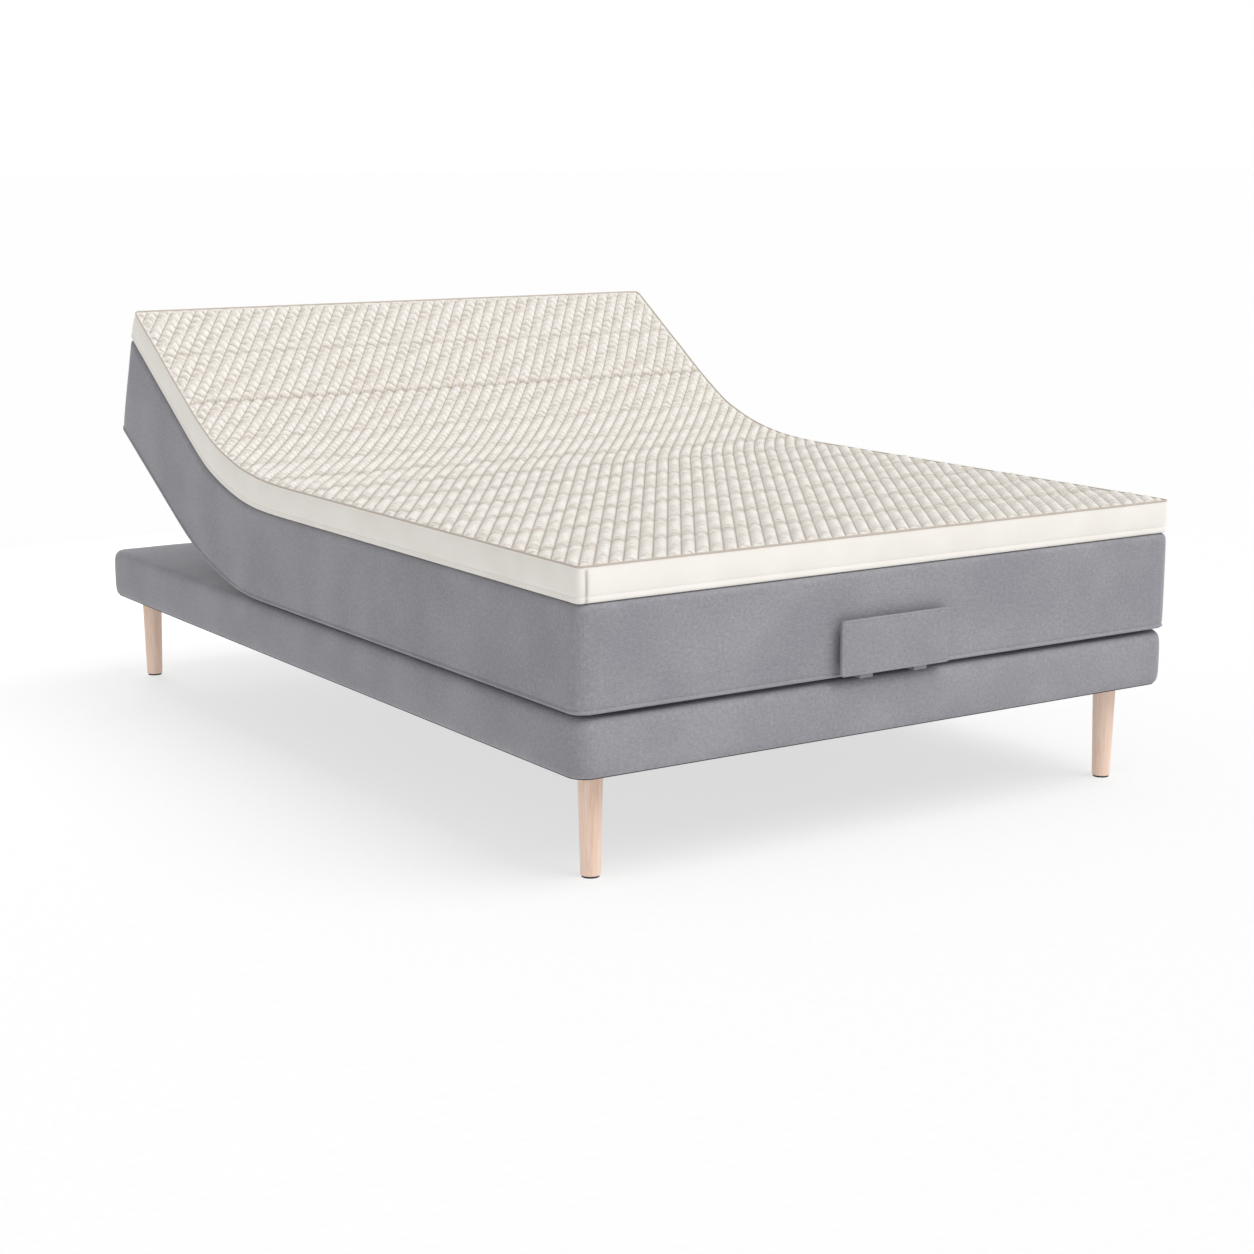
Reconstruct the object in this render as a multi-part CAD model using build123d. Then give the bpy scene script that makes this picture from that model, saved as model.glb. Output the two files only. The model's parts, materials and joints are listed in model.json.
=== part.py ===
"""Adjustable bed: an upholstered base box on legs, an adjustable sprung box, a topper and a retainer.

Units are millimetres. +Z is up, +Y points to the head end, and the origin is on the floor under the
middle of the whole bed. Every section is drawn lying flat, then turned into its rest position.
"""
from build123d import *

import os
from math import radians, sin, tan

# Overall size
WIDTH = 1400
LENGTH = 2100
LEG_HEIGHT = 200
BASE_HEIGHT = 108
BOX_GAP = 7
BOX_HEIGHT = 190
TOPPER_HEIGHT = 67
RETAINER_STAND_OFF = 20
HEAD_RISE = 28
HEAD_OVERHANG = 48

# Where the bed bends
HINGE_ABOVE_BOX_BOTTOM = 30
CALF_LENGTH = 600
THIGH_LENGTH = 330
SEAT_LENGTH = 400
LUMBAR_LENGTH = 270
REST_BEND = 15
LUMBAR_RAISE = 20
THIGH_RAISE = 33
KNEE_RATIO = 1.525
BEND_MARGIN = 0.5

# Soft parts
CORNER_RADIUS = 42
TOPPER_INSET = 5
CORE_SKIRT = 13
SOFT_GAP = 0.5
FRAME_HEIGHT = 40
SLAT_THICKNESS = 12
SLAT_WIDTH = 53

# Base
COVER_THICKNESS = 8
TOP_CLOTH = 2
PANEL_THICKNESS = 8
PANEL_INSET = 24
RAIL_THICKNESS = 28
DUST_COVER = 2
LEG_TOP_RADIUS = 23
LEG_FOOT_RADIUS = 18
LEG_INSET_X = 83
LEG_INSET_FOOT = 89
LEG_INSET_HEAD = 52
GLIDE_THICKNESS = 4
STUD_RADIUS = 5

# Steel frame
BAR = 8
LIFT_TUBE_RADIUS = 15
LIFT_TUBE_WALL = 2
SEAT_BAR_X = 600
INNER_BAR_X = 640
OUTER_BAR_X = 650
PIN_RADIUS = 6
RUNNING_GAP = 0.3
BUSH_RADIUS = 18
CROSS_TUBE = 25
END_TUBE = 30
TUBE_WALL = 2

# Twin drive
LEVER_LENGTH = 80
LEVER_END_RADIUS = 10
LEVER_HALF_WIDTH = 5
LEVER_X = 20
SLIDER_CLEARANCE = 0.4
SLIDER_LENGTH = 30
SLIDER_HALF_HEIGHT = 12
SPINDLE_RADIUS = 7
SHELL_WALL = 4
SHELL_HALF_WIDTH = 78

# Heights and stations that follow from the driving sizes
Y_FOOT = -(LENGTH - RETAINER_STAND_OFF) / 2
Y_HEAD = Y_FOOT + LENGTH
Z_BASE = LEG_HEIGHT
Z_BASE_TOP = Z_BASE + BASE_HEIGHT
Z_BOX = Z_BASE_TOP + BOX_GAP
Z_BOX_TOP = Z_BOX + BOX_HEIGHT
Z_TOP = Z_BOX_TOP + TOPPER_HEIGHT
Z_HINGE = Z_BOX + HINGE_ABOVE_BOX_BOTTOM
Y_KNEE = Y_FOOT + CALF_LENGTH
Y_THIGH = Y_KNEE + THIGH_LENGTH
Y_LUMBAR = Y_THIGH + SEAT_LENGTH
Y_BACK = Y_LUMBAR + LUMBAR_LENGTH
Z_RAIL = Z_HINGE - FRAME_HEIGHT / 2
Z_SLAT = Z_HINGE + FRAME_HEIGHT / 2 + 1
Z_CORE = Z_SLAT + SLAT_THICKNESS + 2
HALF = WIDTH / 2
LEG_X = HALF - LEG_INSET_X
LEG_YS = {"foot": Y_FOOT + LEG_INSET_FOOT, "head": Y_HEAD - LEG_INSET_HEAD}
BACK_V = (REST_BEND + LUMBAR_RAISE) / 2 + BEND_MARGIN
THIGH_V = THIGH_RAISE / 2 + BEND_MARGIN
KNEE_V = THIGH_RAISE * KNEE_RATIO / 2 + BEND_MARGIN

Z_PANEL = Z_BASE_TOP - TOP_CLOTH - PANEL_THICKNESS
Z_DRIVE = Z_BASE + 12
Z_DRIVE_SPLIT = 290
Z_DRIVE_TOP = Z_HINGE - LIFT_TUBE_RADIUS - 3
Y_DRIVE = (Y_THIGH - 105, Y_LUMBAR + 85)
SEAT_BOLT_X = SEAT_BAR_X - 16
SEAT_BOLT_YS = (Y_THIGH + 90, Y_LUMBAR - 90)
SEAT_BOLT_RADIUS = 4
Z_SPINDLE = Z_HINGE - LEVER_LENGTH
BACK_LEVER_MID = (LUMBAR_RAISE - REST_BEND) / 2
LEG_LEVER_MID = THIGH_RAISE / 2


def box(x, y, z):
    """A box from its low and high limits along each axis."""
    size = [high - low for low, high in (x, y, z)]
    middle = [(low + high) / 2 for low, high in (x, y, z)]
    return Pos(*middle) * Box(*size)


def along_x(y, z, radius, x):
    """A cylinder along X between two x values."""
    middle = (x[0] + x[1]) / 2
    return Pos(middle, y, z) * Rot(0, 90, 0) * Cylinder(radius, x[1] - x[0])


def along_y(x, z, radius, y):
    """A cylinder along Y between two y values."""
    middle = (y[0] + y[1]) / 2
    return Pos(x, middle, z) * Rot(90, 0, 0) * Cylinder(radius, y[1] - y[0])


def upright(x, y, radius, z):
    """A cylinder along Z between two z values."""
    return Pos(x, y, (z[0] + z[1]) / 2) * Cylinder(radius, z[1] - z[0])


def profile_plate(points, x):
    """A plate across the bed, from its outline as (y, z) points."""
    outline = Plane.YZ.offset(x[0]) * Polygon(*points, align=None)
    return extrude(outline, x[1] - x[0], dir=(1, 0, 0))


def both_sides(shape):
    """The shape and its mirror image on the bed's other side."""
    return [shape, mirror(shape, Plane.YZ)]


def turned(shapes, y, z, angle):
    """Shapes turned about an axis along X, with positive angles raising the head side."""
    return [Pos(0, y, z) * Rot(angle, 0, 0) * Pos(0, -y, -z) * s for s in shapes]


def lumbar_rest(*shapes):
    return turned(shapes, Y_LUMBAR, Z_HINGE, REST_BEND)


def back_rest(*shapes):
    return lumbar_rest(*turned(shapes, Y_BACK, Z_HINGE, REST_BEND))


def save(name, *shapes):
    """Write a node as one STEP file, with each solid kept apart."""
    solids = [solid for shape in shapes for solid in shape.solids()]
    whole = solids[0] if len(solids) == 1 else Compound(children=solids)
    export_step(whole, f"parts/{name}.step")


# Base box


def rounded_prism(half_x, y, z, radius):
    plan = RectangleRounded(2 * half_x, y[1] - y[0], radius)
    return Pos(0, (y[0] + y[1]) / 2, z[0]) * extrude(plan, z[1] - z[0])


def inside_base(inset, z, radius):
    return rounded_prism(HALF - inset, (Y_FOOT + inset, Y_HEAD - inset), z, radius)


def drive_opening(z):
    margin = 16
    half = SHELL_HALF_WIDTH + margin
    return box((-half, half), (Y_DRIVE[0] - margin, Y_DRIVE[1] + margin), z)


def make_base():
    inner_radius = CORNER_RADIUS - COVER_THICKNESS
    z_rails = (Z_BASE + DUST_COVER, Z_PANEL)
    cover = inside_base(0, (Z_BASE, Z_BASE_TOP), CORNER_RADIUS)
    cover -= inside_base(COVER_THICKNESS, (Z_BASE, Z_BASE_TOP - TOP_CLOTH), inner_radius)
    cover -= drive_opening((Z_PANEL, Z_BASE_TOP))
    holes = [
        upright(sx * SEAT_BOLT_X, y, SEAT_BOLT_RADIUS, (Z_PANEL, Z_BASE_TOP))
        for sx in (-1, 1)
        for y in SEAT_BOLT_YS
    ]
    save("base_cover", cover - holes)

    ring = inside_base(COVER_THICKNESS, z_rails, inner_radius)
    inset = COVER_THICKNESS + RAIL_THICKNESS
    rail_x = HALF - inset
    ring -= box((-rail_x, rail_x), (Y_FOOT + inset, Y_HEAD - inset), z_rails)
    across = box((-rail_x, rail_x), (Y_FOOT, Y_HEAD), z_rails)
    save("base_side_rails", ring - across)
    save("base_end_rails", ring & across)

    panel_z = (Z_PANEL, Z_PANEL + PANEL_THICKNESS)
    panel = inside_base(PANEL_INSET, panel_z, CORNER_RADIUS - PANEL_INSET)
    save("base_top_panel", panel - drive_opening((Z_PANEL, Z_BASE_TOP)) - holes)

    beams = []
    for y in (Y_DRIVE[0] - 130, Y_DRIVE[1] + 130):
        beam_y = (y - RAIL_THICKNESS / 2, y + RAIL_THICKNESS / 2)
        beams.append(box((-rail_x, rail_x), beam_y, z_rails))
    save("base_cross_beams", *beams)

    cloth = inside_base(COVER_THICKNESS, (Z_BASE, Z_BASE + DUST_COVER), inner_radius)
    for sx in (-1, 1):
        for y in LEG_YS.values():
            cloth -= upright(sx * LEG_X, y, LEG_TOP_RADIUS + 2, (Z_BASE, Z_BASE + DUST_COVER))
    save("base_dust_cover", cloth)


def make_legs():
    block_half = 45
    end_rail_y = COVER_THICKNESS + RAIL_THICKNESS
    z_stud = (LEG_HEIGHT - 25, LEG_HEIGHT + 40)
    side_rail_x = HALF - COVER_THICKNESS - RAIL_THICKNESS
    blocks, studs, glides, collars = [], [], [], []
    for side, sx in (("left", -1), ("right", 1)):
        for end, y in LEG_YS.items():
            place = Pos(sx * LEG_X, y, 0)
            leg = Pos(0, 0, (GLIDE_THICKNESS + LEG_HEIGHT) / 2) * Cone(
                LEG_FOOT_RADIUS, LEG_TOP_RADIUS, LEG_HEIGHT - GLIDE_THICKNESS
            )
            leg -= upright(0, 0, STUD_RADIUS, z_stud)
            save(f"leg_{end}_{side}", place * leg)
            stud = upright(0, 0, STUD_RADIUS, z_stud)
            studs.append(place * stud)
            collar = upright(0, 0, LEG_TOP_RADIUS, (LEG_HEIGHT, LEG_HEIGHT + DUST_COVER))
            collar -= upright(0, 0, STUD_RADIUS, z_stud)
            collars.append(place * collar)
            glides.append(place * upright(0, 0, LEG_FOOT_RADIUS - 2, (0, GLIDE_THICKNESS)))
            block_x = (LEG_X - block_half, side_rail_x)
            block_y = (Y_FOOT + end_rail_y, y + block_half) if end == "foot" else (
                y - 2 * block_half,
                Y_HEAD - end_rail_y,
            )
            block = box(block_x, block_y, (Z_BASE + DUST_COVER, Z_PANEL))
            block = block if sx > 0 else mirror(block, Plane.YZ)
            blocks.append(block - place * upright(0, 0, STUD_RADIUS, z_stud))
    save("base_corner_blocks", *blocks)
    save("leg_studs", *studs)
    save("leg_collars", *collars)
    save("leg_glides", *glides)


# Soft sections


def v_point(y, z, angle):
    """The point at height z on a line through a hinge axis, leaning by angle towards the head."""
    return (y + (z - Z_HINGE) * tan(radians(angle)), z)


def valley_edge(y, side, angle, z_low, z_high):
    """A section's end at a hinge that closes upwards; side is 1 on the hinge's head side."""
    step = side * SOFT_GAP * 3
    top = v_point(y + step, z_high, side * angle)
    if z_low >= Z_HINGE:
        return [v_point(y + step, z_low, side * angle), top]
    return [(y + step, z_low), (y + step, Z_HINGE), top]


def ridge_edge(y, side, angle, z_low, z_high):
    """A section's end at a hinge that opens upwards; side is 1 on the hinge's head side."""
    step = side * SOFT_GAP * 3
    if z_low >= Z_HINGE:
        return [(y + step, z_low), (y + step, z_high)]
    low = v_point(y + step, z_low, -side * angle)
    return [low, (y + step, Z_HINGE), (y + step, z_high)]


def foot_edge(inset, z_low, z_high):
    return [(Y_FOOT + inset, z_low), (Y_FOOT + inset, z_high)]


def head_y(z):
    """The sloping head end of the sprung box when it lies flat."""
    share = (z - Z_BOX) / (Z_BOX_TOP + HEAD_RISE - Z_BOX)
    return Y_HEAD + TOPPER_INSET - HEAD_OVERHANG * (1 - share)


def section_edges(z_low, z_high, inset):
    """Each section's two ends as (y, z) points going up, at the foot side and at the head side."""
    z = (z_low, z_high)
    head_top = z_high + HEAD_RISE
    if inset:
        head = [(Y_HEAD + TOPPER_INSET, z_low + HEAD_RISE), (Y_HEAD + TOPPER_INSET, head_top)]
    else:
        head = [(head_y(z_low), z_low), (head_y(head_top), head_top)]
    return {
        "calf": (foot_edge(inset, *z), ridge_edge(Y_KNEE, -1, KNEE_V, *z)),
        "thigh": (ridge_edge(Y_KNEE, 1, KNEE_V, *z), valley_edge(Y_THIGH, -1, THIGH_V, *z)),
        "seat": (valley_edge(Y_THIGH, 1, THIGH_V, *z), valley_edge(Y_LUMBAR, -1, BACK_V, *z)),
        "lumbar": (valley_edge(Y_LUMBAR, 1, BACK_V, *z), valley_edge(Y_BACK, -1, BACK_V, *z)),
        "back": (valley_edge(Y_BACK, 1, BACK_V, *z), head),
    }


def section_solid(name, z_low, z_high, half_x, inset):
    foot_side, head_side = section_edges(z_low, z_high, inset)[name]
    return profile_plate(foot_side + head_side[::-1], (-half_x, half_x))


def frame_space(name):
    """The room for rails and slats inside a section's skirt."""
    half_x = HALF - SOFT_GAP - CORE_SKIRT
    start = {"calf": Y_FOOT + CORE_SKIRT}.get(name, -LENGTH)
    end = {"back": head_y(Z_BOX) - CORE_SKIRT}.get(name, LENGTH)
    return box((-half_x, half_x), (start, end), (0, Z_CORE))


def plan_rounding(half_x, y_low, y_high, radius):
    return rounded_prism(half_x, (y_low, y_high), (0, 2 * LENGTH), radius)


REST_PLACE = {"lumbar": lumbar_rest, "back": back_rest}


def make_soft_sections():
    half_core = HALF - SOFT_GAP
    half_topper = HALF - TOPPER_INSET
    topper_low = Z_BOX_TOP + SOFT_GAP
    core_plan = plan_rounding(half_core, Y_FOOT, Y_HEAD + TOPPER_INSET, CORNER_RADIUS)
    topper_y = (Y_FOOT + TOPPER_INSET, Y_HEAD + TOPPER_INSET)
    topper_plan = plan_rounding(half_topper, *topper_y, CORNER_RADIUS - 10)
    for name in ("calf", "thigh", "seat", "lumbar", "back"):
        core = section_solid(name, Z_BOX + 3, Z_BOX_TOP, half_core, 0) - frame_space(name)
        topper = section_solid(name, topper_low, Z_TOP, half_topper, TOPPER_INSET)
        place = REST_PLACE.get(name, lambda shape: [shape])
        save(f"{name}_spring_core", *place(core & core_plan))
        save(f"{name}_topper", *place(topper & topper_plan))


def wedge(y, z, low_angle, high_angle):
    """A soft wedge in the valley over a hinge, between two leaning faces."""
    margin = 1.0
    near = (Z_CORE - Z_HINGE) + 6
    far = Z_TOP - Z_HINGE
    angles = (low_angle + margin, high_angle - margin)
    points = [(y + r * tan(radians(a)), z + r) for r in (near, far) for a in angles]
    corners = [points[0], points[1], points[3], points[2]]
    half_x = HALF - TOPPER_INSET - 5
    return profile_plate(corners, (-half_x, half_x))


def make_gap_pieces():
    save("thigh_gap_foam", wedge(Y_THIGH, Z_HINGE, -THIGH_V, THIGH_V))
    half_rest = BACK_V - REST_BEND / 2
    lumbar_gap = wedge(Y_LUMBAR, Z_HINGE, -half_rest, half_rest)
    save("lumbar_gap_foam", *turned([lumbar_gap], Y_LUMBAR, Z_HINGE, REST_BEND / 2))
    back_gap = wedge(Y_BACK, Z_HINGE, -half_rest, half_rest)
    back_gap = turned([back_gap], Y_BACK, Z_HINGE, REST_BEND / 2)
    save("back_gap_foam", *lumbar_rest(*back_gap))


# Steel frame


def bar_with_eyes(x, eyes, low, high):
    """A flat bar on edge from low to high, with round eyes as (y, eye radius, hole radius)."""
    bar = box((x, x + BAR), (low, high), (Z_RAIL, Z_RAIL + FRAME_HEIGHT))
    for y, eye_radius, _ in eyes:
        bar += along_x(y, Z_HINGE, eye_radius, (x, x + BAR))
    for y, _, hole_radius in eyes:
        bar -= along_x(y, Z_HINGE, hole_radius, (x - 1, x + BAR + 1))
    return bar


def square_tube(x, y, z, size, wall):
    """A square tube along X, from its x limits and its lowest corner."""
    tube = box(x, (y, y + size), (z, z + size))
    bore = box(x, (y + wall, y + size - wall), (z + wall, z + size - wall))
    return tube - bore


def slats(low, high, count):
    half_x = HALF - SOFT_GAP - CORE_SKIRT - 2
    pitch = (high - low - SLAT_WIDTH) / (count - 1)
    rows = []
    for i in range(count):
        start = low + i * pitch
        z = (Z_SLAT, Z_SLAT + SLAT_THICKNESS)
        rows.append(box((-half_x, half_x), (start, start + SLAT_WIDTH), z))
    return rows


def lift_tube(y):
    end = INNER_BAR_X + BAR + 4
    tube = along_x(y, Z_HINGE, LIFT_TUBE_RADIUS, (-end, end))
    return tube - along_x(y, Z_HINGE, LIFT_TUBE_RADIUS - LIFT_TUBE_WALL, (-end - 1, end + 1))


def hinge_pins(y):
    """Headed pins that pass through an inner bar and an outer bar on each side."""
    pin = along_x(y, Z_HINGE, PIN_RADIUS, (INNER_BAR_X - 4, OUTER_BAR_X + BAR + 1))
    pin += along_x(y, Z_HINGE, 10, (OUTER_BAR_X + BAR + 1, OUTER_BAR_X + BAR + 4))
    return both_sides(pin)


def make_seat_frame():
    eye = 26
    eyes = [(Y_THIGH, eye, BUSH_RADIUS), (Y_LUMBAR, eye, BUSH_RADIUS)]
    save("seat_side_rails", *both_sides(bar_with_eyes(SEAT_BAR_X, eyes, Y_THIGH, Y_LUMBAR)))
    tubes = []
    for y in (Y_THIGH + 130, Y_LUMBAR - 130 - CROSS_TUBE):
        tube_x = (-SEAT_BAR_X, SEAT_BAR_X)
        tubes.append(square_tube(tube_x, y, Z_RAIL + 5, CROSS_TUBE, TUBE_WALL))
    save("seat_cross_tubes", *tubes)
    bushes = []
    for y in (Y_THIGH, Y_LUMBAR):
        bush = along_x(y, Z_HINGE, BUSH_RADIUS, (SEAT_BAR_X - 3, SEAT_BAR_X + BAR + 3))
        bore = LIFT_TUBE_RADIUS + RUNNING_GAP
        bush -= along_x(y, Z_HINGE, bore, (SEAT_BAR_X - 4, SEAT_BAR_X + BAR + 4))
        bushes += both_sides(bush)
    save("lift_tube_bushes", *bushes)
    save("seat_slats", *slats(Y_THIGH + 45, Y_LUMBAR - 45, 4))
    spacers, bolts = [], []
    for y in SEAT_BOLT_YS:
        block = box((SEAT_BAR_X - 34, SEAT_BAR_X + BAR), (y - 25, y + 25), (Z_BASE_TOP, Z_RAIL))
        hole = upright(SEAT_BOLT_X, y, SEAT_BOLT_RADIUS, (Z_PANEL, Z_RAIL + 1))
        spacers += both_sides(block - hole)
        bolt = upright(SEAT_BOLT_X, y, SEAT_BOLT_RADIUS, (Z_PANEL, Z_RAIL))
        bolt += upright(SEAT_BOLT_X, y, SEAT_BOLT_RADIUS + 3, (Z_RAIL, Z_RAIL + 5))
        bolts += both_sides(bolt)
    save("seat_spacers", *spacers)
    save("seat_bolts", *bolts)


def make_back_frame():
    tube = lift_tube(Y_LUMBAR)
    save("back_lift_tube", *lumbar_rest(tube))
    lumbar_eyes = [(Y_LUMBAR, 24, LIFT_TUBE_RADIUS), (Y_BACK, 20, PIN_RADIUS)]
    lumbar_bar = bar_with_eyes(INNER_BAR_X, lumbar_eyes, Y_LUMBAR, Y_BACK)
    save("lumbar_side_rails", *lumbar_rest(*both_sides(lumbar_bar)))
    save("lumbar_slats", *lumbar_rest(*slats(Y_LUMBAR + 38, Y_BACK - 38, 3)))
    save("back_hinge_pins", *lumbar_rest(*hinge_pins(Y_BACK)))
    head_bar_end = head_y(Z_BOX) - CORE_SKIRT - 10
    back_eyes = [(Y_BACK, 20, PIN_RADIUS + RUNNING_GAP)]
    back_bar = bar_with_eyes(OUTER_BAR_X, back_eyes, Y_BACK, head_bar_end)
    end_tube = square_tube(
        (-OUTER_BAR_X, OUTER_BAR_X), head_bar_end - END_TUBE, Z_RAIL + 5, END_TUBE, TUBE_WALL
    )
    save("back_frame", *back_rest(*both_sides(back_bar), end_tube))
    save("back_slats", *back_rest(*slats(Y_BACK + 38, head_bar_end, 6)))


def make_leg_frame():
    save("leg_lift_tube", lift_tube(Y_THIGH))
    thigh_eyes = [(Y_THIGH, 24, LIFT_TUBE_RADIUS), (Y_KNEE, 20, PIN_RADIUS)]
    thigh_bar = bar_with_eyes(INNER_BAR_X, thigh_eyes, Y_KNEE, Y_THIGH)
    save("thigh_side_rails", *both_sides(thigh_bar))
    save("thigh_slats", *slats(Y_KNEE + 30, Y_THIGH - 38, 4))
    save("knee_pins", *hinge_pins(Y_KNEE))
    calf_end = Y_FOOT + CORE_SKIRT + 10
    calf_bar = bar_with_eyes(
        OUTER_BAR_X, [(Y_KNEE, 20, PIN_RADIUS + RUNNING_GAP)], calf_end, Y_KNEE
    )
    end_tube = square_tube(
        (-OUTER_BAR_X, OUTER_BAR_X), calf_end, Z_RAIL + 5, END_TUBE, TUBE_WALL
    )
    save("calf_frame", *both_sides(calf_bar), end_tube)
    save("calf_slats", *slats(calf_end, Y_KNEE - 30, 7))
    glide_x = (OUTER_BAR_X - 6, OUTER_BAR_X + BAR + 6)
    glide = box(glide_x, (calf_end, calf_end + 40), (Z_BASE_TOP + 0.6, Z_RAIL))
    save("calf_glides", *both_sides(glide))


def make_retainer():
    """The padded plate that keeps the topper in place, on two cranked straps."""
    thickness = 4
    panel_x = (-147, 105)
    panel_z = (Z_BOX + 5, Z_BOX + 106)
    front = Y_FOOT - RETAINER_STAND_OFF
    panel_back = front + 8
    z_strap = (Z_BASE_TOP + 2.5, Z_BASE_TOP + 2.5 + thickness)
    z_tube = Z_RAIL + 5
    inner = Y_FOOT + CORE_SKIRT + 10
    strap_half = 15
    straps, screws = [], []
    for x in (panel_x[0] + 62, panel_x[1] - 62):
        span = (x - strap_half, x + strap_half)
        strap = box(span, (panel_back, panel_back + thickness), (z_strap[0], panel_z[1] - 20))
        strap += box(span, (panel_back, inner + 6), z_strap)
        strap += box(span, (inner + 2, inner + 6), (z_strap[0], z_tube))
        strap += box(span, (inner + 2, inner + END_TUBE), (z_tube - thickness, z_tube))
        straps.append(strap)
        screw_y = inner + END_TUBE - 10
        screws.append(upright(x, screw_y, 6, (z_tube - thickness - 4, z_tube - thickness)))
    save("retainer_straps", *straps)
    save("retainer_screws", *screws)
    save("retainer_plate", box(panel_x, (front, panel_back), panel_z))


# Twin drive


def lever(y, x, angle):
    """A plate from a lift tube down to a rounded end, leaning by angle."""
    plate = along_x(y, Z_HINGE, LIFT_TUBE_RADIUS + 6, (x, x + BAR))
    shank = (y - LEVER_HALF_WIDTH, y + LEVER_HALF_WIDTH)
    plate += box((x, x + BAR), shank, (Z_SPINDLE, Z_HINGE))
    plate += along_x(y, Z_SPINDLE, LEVER_END_RADIUS, (x, x + BAR))
    plate -= along_x(y, Z_HINGE, LIFT_TUBE_RADIUS, (x - 1, x + BAR + 1))
    return turned(both_sides(plate), y, Z_HINGE, angle)


def lever_end_y(y, angle):
    """Where a leaning lever's end is, with positive angles towards the head."""
    return y + LEVER_LENGTH * sin(radians(angle))


def slider(face, direction):
    """A nut block whose flat face pushes the lever ends along direction."""
    back = face - direction * SLIDER_LENGTH
    y = (min(face, back), max(face, back))
    height = (Z_SPINDLE - SLIDER_HALF_HEIGHT, Z_SPINDLE + SLIDER_HALF_HEIGHT)
    block = box((-34, 34), y, height)
    return block - along_y(0, Z_SPINDLE, SPINDLE_RADIUS + RUNNING_GAP, (y[0] - 1, y[1] + 1))


def make_motor(name, gearbox_y, can_y, x):
    half = 19
    height = (Z_SPINDLE - 24, Z_SPINDLE + 24)
    gearbox = box((-62, 62), gearbox_y, height)
    can_radius = 24
    spin_x = x * (62 - can_radius)
    can = along_y(spin_x, Z_SPINDLE, can_radius, can_y)
    boss_y = (gearbox_y[0] - 4, gearbox_y[1] + 4)
    boss = along_y(0, Z_SPINDLE, half, boss_y)
    bore = along_y(0, Z_SPINDLE, SPINDLE_RADIUS, (boss_y[0] - 1, boss_y[1] + 1))
    save(name, gearbox + can + boss - bore)


def ear(y, x):
    """A hanger eye on the drive's upper shell, round a lift tube."""
    radius = LIFT_TUBE_RADIUS + 7
    eye = along_x(y, Z_HINGE, radius, (x, x + 10))
    eye += box((x, x + 10), (y - radius, y + radius), (Z_DRIVE_TOP - 2, Z_HINGE))
    return eye - along_x(y, Z_HINGE, LIFT_TUBE_RADIUS + 0.6, (x - 1, x + 11))


def make_drive():
    save("back_levers", *lever(Y_LUMBAR, LEVER_X, -BACK_LEVER_MID))
    save("leg_levers", *lever(Y_THIGH, LEVER_X, LEG_LEVER_MID))
    reach = LEVER_END_RADIUS + SLIDER_CLEARANCE
    back_face = lever_end_y(Y_LUMBAR, -BACK_LEVER_MID) - reach
    leg_face = lever_end_y(Y_THIGH, LEG_LEVER_MID) + reach
    save("back_slider", slider(back_face, 1))
    save("leg_slider", slider(leg_face, -1))

    spindle_end = 25
    back_gear = (Y_LUMBAR - 130, Y_LUMBAR - 90)
    leg_gear = (Y_THIGH + 100, Y_THIGH + 140)
    make_motor("back_motor", back_gear, (back_gear[0] - 85, back_gear[0]), -1)
    make_motor("leg_motor", leg_gear, (leg_gear[1], leg_gear[1] + 85), 1)
    back_spindle_y = (back_gear[0] - 4, Y_DRIVE[1] - spindle_end)
    leg_spindle_y = (Y_DRIVE[0] + spindle_end, leg_gear[1] + 4)
    save("back_spindle", along_y(0, Z_SPINDLE, SPINDLE_RADIUS, back_spindle_y))
    save("leg_spindle", along_y(0, Z_SPINDLE, SPINDLE_RADIUS, leg_spindle_y))

    half = SHELL_HALF_WIDTH
    room = half - SHELL_WALL
    room_y = (Y_DRIVE[0] + SHELL_WALL, Y_DRIVE[1] - SHELL_WALL)
    lower = box((-half, half), Y_DRIVE, (Z_DRIVE, Z_DRIVE_SPLIT))
    lower -= box((-room, room), room_y, (Z_DRIVE + SHELL_WALL, Z_DRIVE_SPLIT))
    post_x = (-20, 20)
    for y in ((room_y[0], Y_DRIVE[0] + spindle_end), (Y_DRIVE[1] - spindle_end, room_y[1])):
        lower += box(post_x, y, (Z_DRIVE, Z_SPINDLE + 15))
    save("drive_lower_shell", lower)

    upper = box((-half, half), Y_DRIVE, (Z_DRIVE_SPLIT, Z_DRIVE_TOP))
    upper -= box((-room, room), room_y, (Z_DRIVE_SPLIT, Z_DRIVE_TOP - SHELL_WALL))
    for y in (Y_THIGH, Y_LUMBAR):
        slot_half = 40
        slot_x = LEVER_X + BAR + 6
        upper -= box((-slot_x, slot_x), (y - slot_half, y + slot_half), (Z_DRIVE_SPLIT, Z_HINGE))
        for shape in both_sides(ear(y, half - 16)):
            upper += shape
    save("drive_upper_shell", upper)
    save("control_box", box((200, 330), (-60, 60), (Z_PANEL - 36, Z_PANEL)))


def main():
    os.makedirs("parts", exist_ok=True)
    make_base()
    make_legs()
    make_soft_sections()
    make_gap_pieces()
    make_seat_frame()
    make_back_frame()
    make_leg_frame()
    make_retainer()
    make_drive()


main()
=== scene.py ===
import json
from math import cos, pi, radians, sin

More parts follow.
